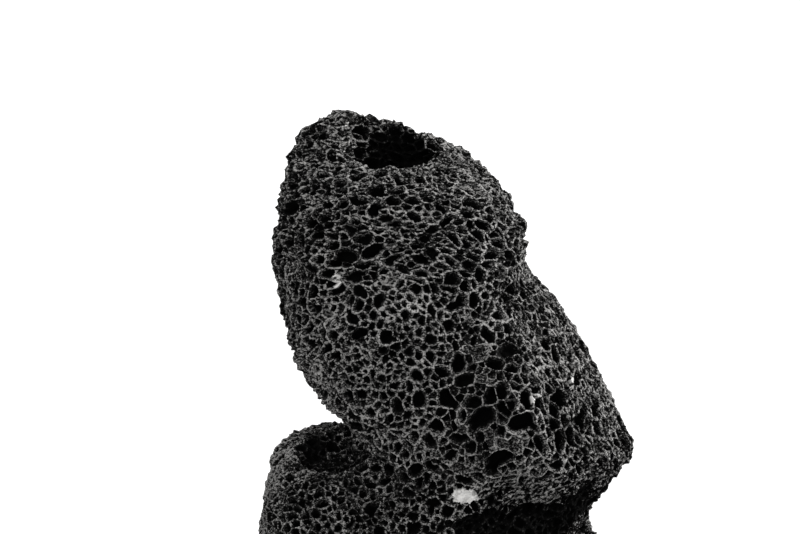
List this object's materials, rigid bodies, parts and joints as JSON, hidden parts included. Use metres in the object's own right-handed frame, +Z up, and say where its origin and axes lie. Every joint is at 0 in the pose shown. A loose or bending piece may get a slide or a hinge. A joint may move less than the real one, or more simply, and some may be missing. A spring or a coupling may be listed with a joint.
{
  "type": "lava rock",
  "caption": "Leaning lump of frothy basalt lava rock with a crater in its crown, standing on a flat broken foot, for display, aquascaping or set dressing.",
  "frame": {"origin": "on the ground under the middle of the rock's outline, in the plane of its flat foot", "axes": "+Z up, +X towards the nose, -Y towards the front, which carries the largest vesicles"},
  "size_m": [0.1276, 0.0938, 0.1693],
  "materials": {
    "vesicular_basalt": "matt black frothy basalt with thin grey cell walls"
  },
  "bodies": {
    "root": {"lava_rock": "vesicular_basalt"}
  },
  "joints": []
}
